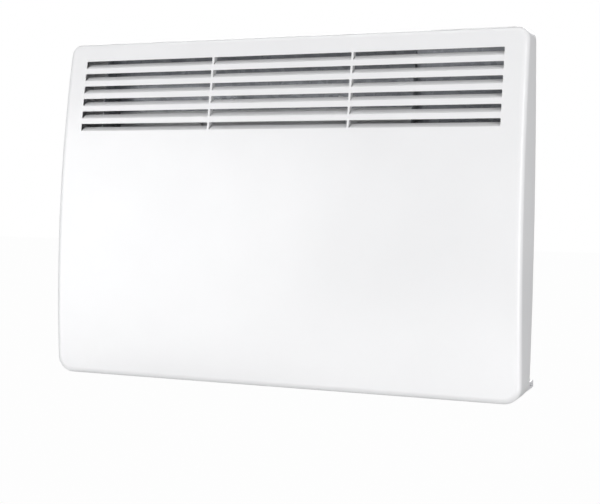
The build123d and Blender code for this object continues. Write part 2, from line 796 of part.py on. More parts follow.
ear_front_y = rear_edge_y(lower_rail_low + ear_height) + slip
lock_tab_y = rear_edge_y(lower_rail_low + lower_rail_depth) + lock_tab_gap + bracket_sheet
ear_z = level(lower_rail_low + ear_height / 2)
shelf_z = level(lower_rail_low + lower_rail_depth)
tab_low = lock_height - lock_tab_drop
with BuildPart() as bracket_lower_rail:
    with Locations((0, rail_y, level(lower_rail_low))):
        rail_length = 2 * (ear_x - strap_width / 2)
        Box(rail_length, bracket_sheet, lower_rail_depth, align=(Align.CENTER, Align.CENTER, Align.MIN))
        ends_length = 2 * (ear_x - bracket_sheet)
        Box(ends_length, bracket_sheet, ear_height, align=(Align.CENTER, Align.CENTER, Align.MIN))
    for side in (-1, 1):
        slot_y = -ear_slot_back - ear_slot_length / 2
        with BuildSketch(Plane.YZ.offset(side * ear_x)) as ear_face:
            with Locations(((ear_front_y - bracket_sheet) / 2, ear_z)):
                Rectangle(-ear_front_y - bracket_sheet, ear_height)
            fillet(ear_face.vertices().sort_by(Axis.Y)[-2:].sort_by(Axis.Z)[-1], ear_corner)
            with Locations((slot_y, ear_z)):
                SlotOverall(ear_slot_length, ear_slot_height, mode=Mode.SUBTRACT)
        extrude(amount=-side * bracket_sheet)
        tab_front = lock_tab_y - bracket_sheet
        with Locations((side * lock_x, -bracket_sheet, shelf_z)):
            shelf = -bracket_sheet - tab_front
            Box(lock_tab_width, shelf, bracket_sheet, align=(Align.CENTER, Align.MAX, Align.MAX))
        with Locations((side * lock_x, lock_tab_y, shelf_z)):
            drop = shelf_z - level(tab_low)
            Box(lock_tab_width, bracket_sheet, drop, align=(Align.CENTER, Align.MAX, Align.MAX))
        with Locations(Location((side * lock_x, lock_tab_y, level(lock_height)), (90, 0, 0))):
            Cylinder(lock_stem_radius + run, 4 * bracket_sheet, mode=Mode.SUBTRACT)
    with Locations(*bracket_rivet_places()):
        Cylinder(rivet_radius + run, 8 * bracket_sheet, mode=Mode.SUBTRACT)
save(bracket_lower_rail.part, "bracket_lower_rail")

with BuildPart() as bracket_rivets:
    with Locations(*bracket_rivet_places()):
        add(rivet(2 * bracket_sheet))
save(bracket_rivets.part, "bracket_rivets")

# Quarter-turn locks: lever, stem and cross head in one piece, kept in the rail's tab by a clip
lock_z = level(lock_height)
head_back_y = rear_edge_y(lock_height - lock_head_half, panel_inset + sheet) - lock_head_gap
head_front_y = head_back_y - lock_head_thickness
clip_y = lock_tab_y - bracket_sheet - seat_gap
groove_radius = lock_stem_radius - lock_groove_depth
for side, name in ((-1, "left"), (1, "right")):
    with BuildPart() as lock:
        with Locations(Location((side * lock_x, lock_tab_y + seat_gap, lock_z), (90, 0, 0))):
            stem_length = lock_tab_y - head_front_y
            Cylinder(lock_stem_radius, stem_length, align=(Align.CENTER, Align.CENTER, Align.MIN))
        with BuildSketch(Plane.XZ.offset(-lock_tab_y - seat_gap)):
            with Locations((side * (lock_x + lock_lever_tail - lock_lever_length / 2), lock_z)):
                SlotOverall(lock_lever_length, lock_lever_width)
        extrude(amount=-lock_lever_thickness)
        with Locations((side * lock_x, head_front_y, lock_z)):
            head_align = (Align.CENTER, Align.MIN, Align.CENTER)
            Box(2 * lock_head_half, lock_head_thickness, 2 * lock_stem_radius, align=head_align)
        with BuildSketch(Plane.XZ.offset(-clip_y)):
            with Locations((side * lock_x, lock_z)):
                Circle(lock_stem_radius + slip)
                Circle(groove_radius, mode=Mode.SUBTRACT)
        extrude(amount=lock_clip_thickness + 2 * seat_gap, mode=Mode.SUBTRACT)
    save(lock.part, f"lock_{name}")
    with BuildPart() as lock_clip:
        with BuildSketch(Plane.XZ.offset(-clip_y + seat_gap)):
            with Locations((side * lock_x, lock_z)):
                Circle(lock_clip_radius)
                Circle(groove_radius + seat_gap, mode=Mode.SUBTRACT)
        extrude(amount=lock_clip_thickness)
    save(lock_clip.part, f"lock_clip_{name}")

# Control tray sunk into the top face
top_z = level(case_height)
floor_z = top_z - tray_depth
under_z = floor_z - tray_wall
min_z = (Align.CENTER, Align.CENTER, Align.MIN)
max_z = (Align.CENTER, Align.CENTER, Align.MAX)
with BuildPart() as control_tray:
    with Locations((tray_x, tray_y, top_z + seat_gap)):
        flange_length = tray_length + 2 * tray_flange
        Box(flange_length, tray_width + 2 * tray_flange, tray_flange_thickness, align=min_z)
    fillet(control_tray.edges().filter_by(Axis.Z), radius=tray_flange)
    with Locations((tray_x, tray_y, top_z + seat_gap)):
        Box(tray_length - slip, tray_width - slip, top_z + seat_gap - under_z, align=max_z)
    with Locations((tray_x, tray_y, floor_z)):
        cavity_length = tray_length - slip - 2 * tray_wall
        Box(cavity_length, tray_width - slip - 2 * tray_wall, 2 * tray_depth, align=min_z, mode=Mode.SUBTRACT)
    with Locations((thermostat_x, tray_y, floor_z)):
        Cylinder(stem_bush_radius + run, 4 * tray_wall, mode=Mode.SUBTRACT)
    with Locations((switch_x, tray_y, floor_z)):
        cutout_size = (switch_body_length + 2 * run, switch_body_breadth + 2 * run)
        Box(*cutout_size, 4 * tray_wall, mode=Mode.SUBTRACT)
    with Locations((lamp_x, tray_y, floor_z)):
        Cylinder(lamp_radius + run, 4 * tray_wall, mode=Mode.SUBTRACT)
save(control_tray.part, "control_tray")

# Thermostat under the tray, with its knob
shaft_low = under_z - thermostat_depth / 2
knob_low = floor_z + nut_thickness + slip
with BuildPart() as thermostat_body:
    with Locations((thermostat_x, tray_y, under_z - seat_gap)):
        Box(thermostat_length, thermostat_breadth, thermostat_depth, align=max_z)
    fillet(thermostat_body.edges().filter_by(Axis.Z), radius=switch_corner)
    with Locations((thermostat_x, tray_y, under_z - seat_gap)):
        Cylinder(stem_bush_radius, stem_bush_height + seat_gap, align=min_z)
    with Locations((thermostat_x, tray_y, shaft_low - run)):
        Cylinder(shaft_radius + run, thermostat_depth, align=min_z, mode=Mode.SUBTRACT)
save(thermostat_body.part, "thermostat_body")

with BuildPart() as thermostat_nut:
    with BuildSketch(Plane.XY.offset(floor_z + seat_gap)):
        with Locations((thermostat_x, tray_y)):
            RegularPolygon(nut_radius, 6)
            Circle(stem_bush_radius + run, mode=Mode.SUBTRACT)
    extrude(amount=nut_thickness - 2 * seat_gap)
save(thermostat_nut.part, "thermostat_nut")

shaft_high = knob_low + knob_height - shaft_cap
with BuildPart() as thermostat_shaft:
    with Locations((thermostat_x, tray_y, shaft_low)):
        Cylinder(shaft_radius, shaft_high - shaft_low, align=min_z)
save(thermostat_shaft.part, "thermostat_shaft")

with BuildPart() as thermostat_knob:
    with BuildSketch(Plane.XY.offset(knob_low)):
        with Locations((thermostat_x, tray_y)):
            Circle(knob_radius)
            with PolarLocations(knob_radius, knob_rib_count):
                Circle(knob_rib_radius, mode=Mode.SUBTRACT)
    extrude(amount=knob_height)
    with Locations((thermostat_x, tray_y, knob_low)):
        Cylinder(shaft_radius + run / 2, shaft_high - knob_low + run, align=min_z, mode=Mode.SUBTRACT)
    with Locations((thermostat_x, tray_y - knob_radius / 2, knob_low + knob_height)):
        Box(knob_mark_width, knob_radius, 2 * knob_mark_depth, mode=Mode.SUBTRACT)
save(thermostat_knob.part, "thermostat_knob")

# Rocker switch
pivot_z = floor_z + rocker_pivot_rise
with BuildPart() as switch_body:
    with Locations((switch_x, tray_y, floor_z + seat_gap)):
        Box(switch_length, switch_breadth, switch_frame_height, align=min_z)
    fillet(switch_body.edges().filter_by(Axis.Z), radius=switch_corner)
    with Locations((switch_x, tray_y, floor_z + seat_gap)):
        Box(switch_body_length, switch_body_breadth, switch_body_depth, align=max_z)
    with Locations((switch_x, tray_y, pivot_z - rocker_drop - rocker_gap)):
        well_size = (2 * (rocker_half + 2 * rocker_gap), rocker_breadth + 2 * rocker_gap)
        Box(*well_size, 2 * switch_body_depth, align=min_z, mode=Mode.SUBTRACT)
    with Locations(Location((switch_x, tray_y, pivot_z), (90, 0, 0))):
        pin_bore = rocker_breadth + 2 * (rocker_gap + rocker_pin_length)
        Cylinder(rocker_pin_radius + run, pin_bore, mode=Mode.SUBTRACT)
save(switch_body.part, "switch_body")

tilt = math.radians(rocker_tilt)
rocker_plane = Plane(
    origin=(switch_x, tray_y, pivot_z),
    x_dir=(math.cos(tilt), 0, -math.sin(tilt)),
    z_dir=(0, -1, 0),
)
with BuildPart() as switch_rocker:
    with BuildSketch(rocker_plane):
        with BuildLine():
            ThreePointArc((-rocker_half, 0), (0, -rocker_drop), (rocker_half, 0))
            ends = ((-rocker_half, 0), (-rocker_half, rocker_rise), (0, rocker_rise / 2))
            Polyline(*ends, (rocker_half, rocker_rise), (rocker_half, 0))
        make_face()
    extrude(amount=rocker_breadth / 2, both=True)
    with Locations(Location((switch_x, tray_y, pivot_z), (90, 0, 0))):
        Cylinder(rocker_pin_radius, rocker_breadth + 2 * (rocker_gap + rocker_pin_length - run))
save(switch_rocker.part, "switch_rocker")

# Pilot lamp
lens_low = under_z - lamp_seat
with BuildPart() as lamp_lens:
    with Locations((lamp_x, tray_y, floor_z + seat_gap)):
        Cylinder(lamp_radius + lamp_rim, lamp_rise, align=min_z)
    fillet(lamp_lens.edges().group_by(Axis.Z)[-1], radius=lamp_rounding)
    with Locations((lamp_x, tray_y, lens_low)):
        Cylinder(lamp_radius, floor_z + tray_wall - lens_low, align=min_z)
save(lamp_lens.part, "lamp_lens")

with BuildPart() as lamp_body:
    with Locations((lamp_x, tray_y, under_z - seat_gap)):
        Cylinder(lamp_radius + lamp_rim, lamp_body_depth, align=max_z)
        Cylinder(lamp_radius + run, 2 * (under_z - lens_low + run), mode=Mode.SUBTRACT)
save(lamp_body.part, "lamp_body")

# Supply: gland in the rear panel, terminal block and leads
with BuildPart() as cable_gland:
    with Locations(rear_place(supply_x, gland_height, panel_inset)):
        with Locations((0, 0, seat_gap)):
            Cylinder(gland_flange_radius, gland_flange, align=min_z)
            Cylinder(gland_radius, gland_inner, align=max_z)
        with Locations((0, 0, gland_flange)):
            Cone(gland_flange_radius - gland_shoulder, gland_radius, gland_nose, align=min_z)
        Cylinder(cable_bore_radius, 4 * gland_inner, mode=Mode.SUBTRACT)
save(cable_gland.part, "cable_gland")

with BuildPart() as gland_nut:
    with BuildSketch(inner_plane(supply_x, gland_height, sheet + seat_gap)):
        RegularPolygon(gland_nut_radius, 6)
        Circle(gland_radius + run, mode=Mode.SUBTRACT)
    extrude(amount=gland_nut_thickness)
save(gland_nut.part, "gland_nut")

block_plane = inner_plane(supply_x, block_height, sheet + seat_gap)
block_pitch = block_length / block_ways
with BuildPart() as terminal_block:
    with BuildSketch(block_plane):
        Rectangle(block_length, block_breadth)
    extrude(amount=block_depth)
    with BuildSketch(block_plane):
        Rectangle(block_length + 2 * block_ear, block_breadth)
        with GridLocations(block_length + block_ear, 0, 2, 1):
            Circle(screw_radius + run, mode=Mode.SUBTRACT)
    extrude(amount=block_ear_thickness)
    with BuildSketch(block_plane.offset(block_depth)):
        with GridLocations(block_pitch, 0, block_ways, 1):
            Circle(block_screw_radius + run)
    extrude(amount=-block_depth / 2, mode=Mode.SUBTRACT)
save(terminal_block.part, "terminal_block")

with BuildPart() as terminal_screws:
    with BuildSketch(block_plane.offset(block_depth / 2)):
        with GridLocations(block_pitch, 0, block_ways, 1):
            Circle(block_screw_radius)
    extrude(amount=block_screw_length)
save(terminal_screws.part, "terminal_screws")


def block_port(way, end):
    """Where a lead meets the terminal block: way counts from the middle, end is 1 on top and -1 below."""
    away = end * (block_breadth / 2 + port_gap)
    return block_plane.from_local_coords(Vector(way * block_pitch, away, block_depth / 2))


switch_port = Vector(switch_x, tray_y, floor_z - switch_body_depth)
thermostat_port = Vector(thermostat_x, tray_y, under_z - thermostat_depth - 2 * seat_gap)
live_port = block_port(-1, 1)
neutral_port = block_port(0, -1)
cutout_end_x = right_baffle_x + sheet + cutout_depth + terminal_length + seat_gap
terminal_end_x = rod_right + terminal_length + seat_gap
upper_tab = Vector(cutout_end_x, cutout_y, cutout_z + cutout_tab_pitch / 2)
lower_tab = Vector(cutout_end_x, cutout_y, cutout_z - cutout_tab_pitch / 2)
upper_pin = Vector(terminal_end_x, element_y, element_z + terminal_offset)
lower_pin = Vector(terminal_end_x, element_y, element_z - terminal_offset)
up = Vector(0, 0, lead_rise)
out = Vector(lead_rise / 2, 0, 0)

save(lead([live_port, live_port + up, switch_port - up, switch_port], lead_radius), "live_lead")
route = [thermostat_port, thermostat_port - up, upper_tab + out, upper_tab]
save(lead(route, lead_radius), "thermostat_lead")
save(lead([lower_tab, lower_tab + out, upper_pin + out, upper_pin], lead_radius), "cutout_lead")
route = [neutral_port, neutral_port - up / 2, lower_pin + out, lower_pin]
save(lead(route, lead_radius), "neutral_lead")

# Room sensor in the cool air by the inlet, on the thermostat's capillary
sensor_y = (front_skin_y(sensor_height) + rear_edge_y(sensor_height)) / 2
sensor_top = level(sensor_height + sensor_length)
with BuildPart() as sensor_bulb:
    with Locations((sensor_x, sensor_y, sensor_top)):
        Cylinder(sensor_radius, sensor_length, align=max_z)
    fillet(sensor_bulb.edges().filter_by(GeomType.CIRCLE), radius=sensor_rounding)
save(sensor_bulb.part, "sensor_bulb")
capillary_port = thermostat_port + Vector(capillary_offset, 0, 0)
bulb_port = Vector(sensor_x, sensor_y, sensor_top + seat_gap)
route = [capillary_port, capillary_port - up, bulb_port + up, bulb_port]
save(lead(route, capillary_radius), "sensor_capillary")
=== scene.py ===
import json
import math

import bmesh
import bpy
from mathutils import Matrix, Vector
from mathutils.bvhtree import BVHTree


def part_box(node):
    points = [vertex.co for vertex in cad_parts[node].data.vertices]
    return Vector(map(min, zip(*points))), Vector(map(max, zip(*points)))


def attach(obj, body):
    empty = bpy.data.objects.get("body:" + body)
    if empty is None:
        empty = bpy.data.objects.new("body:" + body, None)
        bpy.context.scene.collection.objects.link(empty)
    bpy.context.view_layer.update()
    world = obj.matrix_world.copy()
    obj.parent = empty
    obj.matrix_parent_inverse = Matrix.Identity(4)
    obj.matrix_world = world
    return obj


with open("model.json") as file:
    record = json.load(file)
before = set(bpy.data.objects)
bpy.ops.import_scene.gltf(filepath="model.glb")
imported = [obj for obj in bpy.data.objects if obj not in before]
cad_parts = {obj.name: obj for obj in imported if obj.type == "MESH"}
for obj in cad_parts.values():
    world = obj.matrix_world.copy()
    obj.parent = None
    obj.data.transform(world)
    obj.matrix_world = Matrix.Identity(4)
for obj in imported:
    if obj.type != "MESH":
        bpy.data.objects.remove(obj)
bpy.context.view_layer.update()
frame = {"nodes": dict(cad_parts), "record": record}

nodes = frame["nodes"]
case_low, case_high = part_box("front_casing")
case_middle = (case_low + case_high) / 2

# ---------------------------------------------------------------- camera

CAMERA_FROM_CASE = Vector((0.6434, -1.4734, 0.0629))
CAMERA_YAW = math.radians(22.77)
CAMERA_PITCH = math.radians(4.13)
CAMERA_LENS = 74.35
SENSOR_WIDTH = 36.0


def make_camera():
    """The camera, in front of the heater and to its right, level with its upper half."""
    data = bpy.data.cameras.new("camera")
    data.lens = CAMERA_LENS
    data.sensor_width = SENSOR_WIDTH
    camera = bpy.data.objects.new("camera", data)
    camera.location = case_middle + CAMERA_FROM_CASE
    camera.rotation_euler = (math.pi / 2 - CAMERA_PITCH, 0, CAMERA_YAW)
    bpy.context.scene.collection.objects.link(camera)
    bpy.context.scene.camera = camera


make_camera()

# ---------------------------------------------------------------- studio

FLOOR_DROP = 0.9
FLOOR_SIZE = 30.0
FLOOR_GLOW = 0.985
SURROUND_LIGHT = 0.18
SURROUND_COLOUR = (0.95, 0.96, 1.0, 1)
SEEN_WHITE = (1, 1, 1, 1)
FLOOR_GREY = 0.45

# name, place, target, size, power
LIGHTS = (
    ("key_left", (-1.6, -1.9, 0.1), (0.0, -0.05, 0.0), (1.8, 1.6), 36.0),
    ("front_low", (0.2, -2.6, -0.9), (0.0, -0.05, 0.0), (2.6, 1.0), 24.0),
    ("edge_strip", (1.45, -0.62, 0.03), (0.32, -0.08, 0.03), (0.35, 1.5), 14.0),
    ("top_soft", (0.0, -0.3, 1.9), (0.0, -0.05, 0.0), (2.4, 1.4), 19.0),
    ("rear_soft", (-0.7, 2.4, 0.7), (0.0, -0.05, 0.0), (2.2, 1.8), 48.0),
)


def area_light(name, place, target, size, power):
    """A rectangular soft light at place that faces target."""
    data = bpy.data.lights.new(name, "AREA")
    data.shape = "RECTANGLE"
    data.size, data.size_y = size
    data.energy = power
    light = bpy.data.objects.new(name, data)
    light.location = place
    light.rotation_euler = (Vector(target) - Vector(place)).to_track_quat("-Z", "Y").to_euler()
    light.visible_camera = False
    bpy.context.scene.collection.objects.link(light)


def split_by_camera_ray(tree, seen, other, surface):
    """Shows one shader to the camera, and lights the object with another."""
    path = tree.nodes.new("ShaderNodeLightPath")
    mix = tree.nodes.new("ShaderNodeMixShader")
    tree.links.new(path.outputs["Is Camera Ray"], mix.inputs[0])
    tree.links.new(other.outputs[0], mix.inputs[1])
    tree.links.new(seen.outputs[0], mix.inputs[2])
    tree.links.new(mix.outputs[0], surface)


def make_world():
    """A white surround for the camera, and a dimmer even light for the object."""
    world = bpy.data.worlds.new("studio")
    bpy.context.scene.world = world
    world.use_nodes = True
    tree = world.node_tree
    tree.nodes.clear()
    out = tree.nodes.new("ShaderNodeOutputWorld")
    seen = tree.nodes.new("ShaderNodeBackground")
    seen.inputs["Color"].default_value = SEEN_WHITE
    lit = tree.nodes.new("ShaderNodeBackground")
    lit.inputs["Color"].default_value = SURROUND_COLOUR
    lit.inputs["Strength"].default_value = SURROUND_LIGHT
    split_by_camera_ray(tree, seen, lit, out.inputs["Surface"])


def make_floor():
    """A plain pale floor below the heater."""
    mesh = bpy.data.meshes.new("floor")
    half = FLOOR_SIZE / 2
    z = case_low.z - FLOOR_DROP
    corners = [(-half, -half, z), (half, -half, z), (half, half, z), (-half, half, z)]
    mesh.from_pydata(corners, [], [(0, 1, 2, 3)])
    floor = bpy.data.objects.new("floor", mesh)
    bpy.context.scene.collection.objects.link(floor)
    material = bpy.data.materials.new("floor_paint")
    material.use_nodes = True
    tree = material.node_tree
    tree.nodes.clear()
    out = tree.nodes.new("ShaderNodeOutputMaterial")
    seen = tree.nodes.new("ShaderNodeEmission")
    seen.inputs["Color"].default_value = (FLOOR_GLOW, FLOOR_GLOW, FLOOR_GLOW, 1)
    lit = tree.nodes.new("ShaderNodeBsdfDiffuse")
    lit.inputs["Color"].default_value = (FLOOR_GREY, FLOOR_GREY, FLOOR_GREY, 1)
    split_by_camera_ray(tree, seen, lit, out.inputs["Surface"])
    mesh.materials.append(material)


make_world()
make_floor()
for light in LIGHTS:
    area_light(*light)
bpy.context.scene.view_settings.view_transform = "Standard"

# ---------------------------------------------------------------- materials


def new_material(name, colour, roughness, metallic=0.0):
    """A material with its Principled shader, and a texture coordinate in metres."""
    material = bpy.data.materials.new(name)
    material.use_nodes = True
    tree = material.node_tree
    shader = tree.nodes["Principled BSDF"]
    shader.inputs["Base Color"].default_value = (*colour, 1)
    shader.inputs["Roughness"].default_value = roughness
    shader.inputs["Metallic"].default_value = metallic
    coordinates = tree.nodes.new("ShaderNodeTexCoord")
    return material, tree, shader, coordinates.outputs["Object"]


def noise(tree, vector, waves, detail=2.0, stretch=(1, 1, 1)):
    """A noise field with this many waves to the metre, stretched along the axes."""
    mapping = tree.nodes.new("ShaderNodeMapping")
    mapping.inputs["Scale"].default_value = stretch
    tree.links.new(vector, mapping.inputs["Vector"])
    field = tree.nodes.new("ShaderNodeTexNoise")
    field.inputs["Scale"].default_value = waves
    field.inputs["Detail"].default_value = detail
    tree.links.new(mapping.outputs["Vector"], field.inputs["Vector"])
    return field.outputs["Fac"]


# most of a noise field lies between these
FIELD_LOW = 0.3
FIELD_HIGH = 0.7


def spread(tree, value, low, high):
    """Maps the middle of a 0 to 1 field to the range low to high."""
    ramp = tree.nodes.new("ShaderNodeMapRange")
    ramp.inputs["From Min"].default_value = FIELD_LOW
    ramp.inputs["From Max"].default_value = FIELD_HIGH
    ramp.inputs["To Min"].default_value = low
    ramp.inputs["To Max"].default_value = high
    tree.links.new(value, ramp.inputs["Value"])
    return ramp.outputs["Result"]


def shade(colour, factor):
    """A colour made darker or lighter."""
    return tuple(min(1.0, c * factor) for c in colour)


def vary_tone(tree, shader, value, colour, dark, light):
    """Colours a material by a 0 to 1 value, between dark and light times its colour."""
    mix = tree.nodes.new("ShaderNodeMix")
    mix.data_type = "RGBA"
    mix.inputs["A"].default_value = (*shade(colour, dark), 1)
    mix.inputs["B"].default_value = (*shade(colour, light), 1)
    tree.links.new(value, mix.inputs["Factor"])
    tree.links.new(mix.outputs["Result"], shader.inputs["Base Color"])


def vary_roughness(tree, shader, value, low, high):
    """Spreads a material's roughness by a field, from low to high."""
    tree.links.new(spread(tree, value, low, high), shader.inputs["Roughness"])


def bump(tree, shader, value, strength, depth):
    """Raises a material's surface by a field, depth in metres."""
    node = tree.nodes.new("ShaderNodeBump")
    node.inputs["Strength"].default_value = strength
    node.inputs["Distance"].default_value = depth
    tree.links.new(value, node.inputs["Height"])
    tree.links.new(node.outputs["Normal"], shader.inputs["Normal"])


def powder_coat(name, colour, roughness=0.34):
    """Satin powder coating: fine orange peel, and a faint drift of tone and gloss."""
    material, tree, shader, where = new_material(name, colour, roughness)
    peel = noise(tree, where, waves=650, detail=3)
    drift = noise(tree, where, waves=9)
    vary_tone(tree, shader, spread(tree, drift, 0, 1), colour, dark=0.985, light=1.01)
    vary_roughness(tree, shader, peel, low=roughness - 0.05, high=roughness + 0.05)
    bump(tree, shader, peel, strength=0.12, depth=0.00012)
    shader.inputs["Coat Weight"].default_value = 0.25
    shader.inputs["Coat Roughness"].default_value = 0.16
    return material


def galvanised(name, colour, roughness=0.45, metallic=0.75):
    """Galvanised sheet: angular spangle in slightly different greys."""
    material, tree, shader, where = new_material(name, colour, roughness, metallic)
    cells = tree.nodes.new("ShaderNodeTexVoronoi")
    cells.inputs["Scale"].default_value = 160
    tree.links.new(where, cells.inputs["Vector"])
    grey = tree.nodes.new("ShaderNodeSeparateColor")
    tree.links.new(cells.outputs["Color"], grey.inputs["Color"])
    vary_tone(tree, shader, grey.outputs["Red"], colour, dark=0.85, light=1.1)
    vary_roughness(tree, shader, grey.outputs["Green"], low=0.36, high=0.55)
    bump(tree, shader, noise(tree, where, waves=420, detail=3), strength=0.1, depth=0.0001)
    return material


def drawn_metal(name, colour, roughness, stretch):
    """Extruded or turned metal with fine lines along one direction."""
    material, tree, shader, where = new_material(name, colour, roughness, metallic=1.0)
    lines = noise(tree, where, waves=900, detail=4, stretch=stretch)
    vary_tone(tree, shader, spread(tree, lines, 0, 1), colour, dark=0.86, light=1.08)
    vary_roughness(tree, shader, lines, low=roughness - 0.08, high=roughness + 0.1)
    bump(tree, shader, lines, strength=0.15, depth=0.0001)
    return material


def plated(name, colour, roughness=0.3):
    """Bright plating with a faint mottle."""
    material, tree, shader, where = new_material(name, colour, roughness, metallic=1.0)
    mottle = noise(tree, where, waves=260, detail=4)
    vary_tone(tree, shader, spread(tree, mottle, 0, 1), colour, dark=0.88, light=1.06)
    vary_roughness(tree, shader, mottle, low=roughness - 0.08, high=roughness + 0.12)
    bump(tree, shader, noise(tree, where, waves=1500), strength=0.06, depth=0.00005)
    return material


def moulded(name, colour, roughness, waves=1400, depth=0.00005):
    """Moulded plastic or rubber with a fine spark-eroded grain."""
    material, tree, shader, where = new_material(name, colour, roughness)
    grain = noise(tree, where, waves, detail=3)
    drift = noise(tree, where, waves=40)
    vary_tone(tree, shader, spread(tree, drift, 0, 1), colour, dark=0.95, light=1.04)
    vary_roughness(tree, shader, grain, low=roughness - 0.06, high=roughness + 0.08)
    bump(tree, shader, grain, strength=0.2, depth=depth)
    return material


def lens_glass(name, colour, roughness=0.12):
    """A clear coloured lamp lens with faint fluting."""
    material, tree, shader, where = new_material(name, colour, roughness)
    shader.inputs["Transmission Weight"].default_value = 0.55
    shader.inputs["IOR"].default_value = 1.49
    flutes = noise(tree, where, waves=700, detail=1, stretch=(1, 1, 0.1))
    vary_tone(tree, shader, spread(tree, flutes, 0, 1), colour, dark=0.8, light=1.2)
    bump(tree, shader, flutes, strength=0.2, depth=0.0001)
    return material


finishes = {
    "painted_front": powder_coat("painted_front", (0.80, 0.80, 0.805)),
    "painted_rear": powder_coat("painted_rear", (0.74, 0.74, 0.75), roughness=0.42),
    "galvanised": galvanised("galvanised", (0.30, 0.31, 0.33)),
    "element_aluminium": drawn_metal(
        "element_aluminium", (0.52, 0.52, 0.53), roughness=0.42, stretch=(0.05, 1, 1)
    ),
    "zinc_steel": plated("zinc_steel", (0.66, 0.67, 0.69)),
    "ceramic": moulded("ceramic", (0.78, 0.75, 0.68), roughness=0.55, waves=900, depth=0.0001),
    "brass_terminal": plated("brass_terminal", (0.72, 0.52, 0.24), roughness=0.28),
    "white_plastic": moulded("white_plastic", (0.78, 0.78, 0.78), roughness=0.38),
    "grey_plastic": moulded("grey_plastic", (0.16, 0.165, 0.175), roughness=0.5),
    "black_plastic": moulded("black_plastic", (0.025, 0.025, 0.028), roughness=0.45),
    "lamp_red": lens_glass("lamp_red", (0.75, 0.06, 0.03)),
    "wire_brown": moulded("wire_brown", (0.13, 0.05, 0.02), roughness=0.42, waves=800),
    "wire_blue": moulded("wire_blue", (0.03, 0.10, 0.42), roughness=0.42, waves=800),
    "copper": drawn_metal("copper", (0.72, 0.36, 0.22), roughness=0.3, stretch=(1, 1, 0.1)),
}


def dress_cad_nodes():
    """Gives every CAD node the finish of its material slot."""
    for part in frame["record"]["subparts"]:
        mesh = nodes[part["node"]].data
        mesh.materials.clear()
        mesh.materials.append(finishes[part["material_slot"]])


dress_cad_nodes()

# ---------------------------------------------------------------- pieces

MM = 0.001


def surface(node):
    """A search tree of a CAD node's faces."""
    mesh = nodes[node].data
    return BVHTree.FromPolygons(
        [vertex.co for vertex in mesh.vertices],
        [tuple(face.vertices) for face in mesh.polygons],
    )


BEHIND_HEATER = 0.1
rear_surface = surface("rear_panel")


def on_rear_panel(x, z):
    """The point and outward normal of the rear panel's outside at x, z."""
    start = Vector((x, BEHIND_HEATER, z))
    point, normal, _, _ = rear_surface.ray_cast(start, Vector((0, -1, 0)))
    return point, normal if normal.y > 0 else -normal


def new_piece(name, bm, finish, body, smooth=True):
    """Turns a bmesh into a piece that rides on a body."""
    bmesh.ops.recalc_face_normals(bm, faces=bm.faces)
    mesh = bpy.data.meshes.new(name)
    bm.to_mesh(mesh)
    bm.free()
    for face in mesh.polygons:
        face.use_smooth = smooth
    mesh.materials.append(finishes[finish])
    piece = bpy.data.objects.new(name, mesh)
    bpy.context.scene.collection.objects.link(piece)
    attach(piece, body)


def join_rings(bm, rings, closed=False):
    """Joins rings of points with faces, and caps the ends of an open row."""
    count = len(rings[0])
    pairs = list(zip(rings, rings[1:]))
    if closed:
        pairs.append((rings[-1], rings[0]))
    for low, high in pairs:
        for i in range(count):
            j = (i + 1) % count
            bm.faces.new((low[i], low[j], high[j], high[i]))
    if not closed:
        bm.faces.new(rings[0][::-1])
        bm.faces.new(rings[-1])


CORNER_STEPS = 7
RIM_SHARE = 0.4  # of the corner's rounding


def add_bar(bm, matrix, size, rounding):
    """Adds a bar of the given size with rounded upright edges and softened rims."""
    half_x, half_y, half_z = (value / 2 for value in size)
    corner = min(rounding, half_x, half_y)
    rim = min(corner, half_z) * RIM_SHARE
    rings = []
    for z, inset in ((-half_z, rim), (-half_z + rim, 0), (half_z - rim, 0), (half_z, rim)):
        ring = []
        for step in range(4 * CORNER_STEPS):
            quarter, part = divmod(step, CORNER_STEPS)
            angle = math.pi / 2 * (quarter + part / (CORNER_STEPS - 1))
            way_x = 1 if quarter in (0, 3) else -1
            way_y = 1 if quarter in (0, 1) else -1
            x = way_x * (half_x - corner) + (corner - inset) * math.cos(angle)
            y = way_y * (half_y - corner) + (corner - inset) * math.sin(angle)
            ring.append(bm.verts.new(matrix @ Vector((x, y, z))))
        rings.append(ring)
    join_rings(bm, rings)


def circle(centre, side, across, radius, steps):
    """Points round a circle in the plane of two directions."""
    points = []
    for step in range(steps):
        angle = math.tau * step / steps
        points.append(centre + radius * (side * math.cos(angle) + across * math.sin(angle)))
    return points


TUBE_SIDES = 14


def add_tube(bm, points, radius, closed=False):
    """Adds a round tube along points."""
    rings = []
    count = len(points)
    side = None
    for i, point in enumerate(points):
        before = points[i - 1] if closed or i else point
        after = points[(i + 1) % count] if closed or i < count - 1 else point
        along = (after - before).normalized()
        if side is None:
            side = along.orthogonal().normalized()
        side = (side - along * side.dot(along)).normalized()
        ring = circle(point, side, along.cross(side), radius, TUBE_SIDES)
        rings.append([bm.verts.new(spot) for spot in ring])
    join_rings(bm, rings, closed)


def smooth_path(points, steps):
    """Catmull-Rom points through a list of points."""
    ends = [points[0] * 2 - points[1], *points, points[-1] * 2 - points[-2]]
    path = []
    for a, b, c, d in zip(ends, ends[1:], ends[2:], ends[3:]):
        square = a * 2 - b * 5 + c * 4 - d
        cube = b * 3 - a - c * 3 + d
        for step in range(steps):
            t = step / steps
            path.append((b * 2 + (c - a) * t + square * t**2 + cube * t**3) / 2)
    return [*path, points[-1]]


BEAD_HALF_LENGTH = 0.205
BEAD_HALF_WIDTH = 0.0085
BEAD_RISE = 0.0026
BEAD_SINK = 0.0004
BEAD_EDGE_SINK = 0.00008  # the bead's edge below the panel's face
BEAD_TIP_SHARE = 0.02  # of the full width, at the two tips
BEAD_LEVELS = (0.095, 0.02, -0.06)
BEAD_LONG_STEPS = 72
BEAD_CROSS_STEPS = 12


